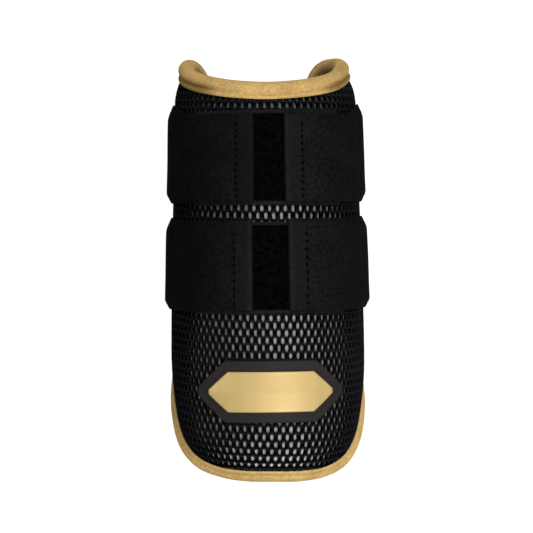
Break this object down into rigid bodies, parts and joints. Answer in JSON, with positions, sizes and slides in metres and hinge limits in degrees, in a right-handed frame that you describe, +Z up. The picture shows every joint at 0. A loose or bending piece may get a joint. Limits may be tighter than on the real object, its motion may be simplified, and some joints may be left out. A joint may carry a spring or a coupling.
{
  "type": "elbow guard",
  "caption": "C-shaped padded arm sleeve under a mesh cloth, with a folded edge tape and two wide elastic straps that close at the front with hook tabs on loop patches.",
  "frame": {"origin": "middle of the guard's footprint on the surface it lies on, under the flat backs of its straps", "axes": "+X across the arm to the right as seen from the front, +Y along the arm towards the upper end, +Z up through the front of the guard"},
  "size_m": [0.1162, 0.2396, 0.1062],
  "materials": {
    "backing_cloth": "soft pale cloth over foam",
    "mesh_cloth": "open black mesh",
    "gold_tape": "satin woven tape",
    "elastic": "matt ribbed elastic",
    "tab_cloth": "smooth dull tape",
    "loop_pile": "fuzzy loop pile",
    "badge_rubber": "satin",
    "badge_gold": "satin metallic gold"
  },
  "bodies": {
    "root": {"pad_body": "backing_cloth", "mesh_cover": "mesh_cloth", "edge_binding": "gold_tape", "upper_strap": "elastic", "lower_strap": "elastic", "upper_tab_left": "tab_cloth", "upper_tab_right": "tab_cloth", "lower_tab_left": "tab_cloth", "lower_tab_right": "tab_cloth", "upper_loop_patch": "loop_pile", "lower_loop_patch": "loop_pile", "badge_backing": "badge_rubber", "badge_plate": "badge_gold"}
  },
  "joints": []
}
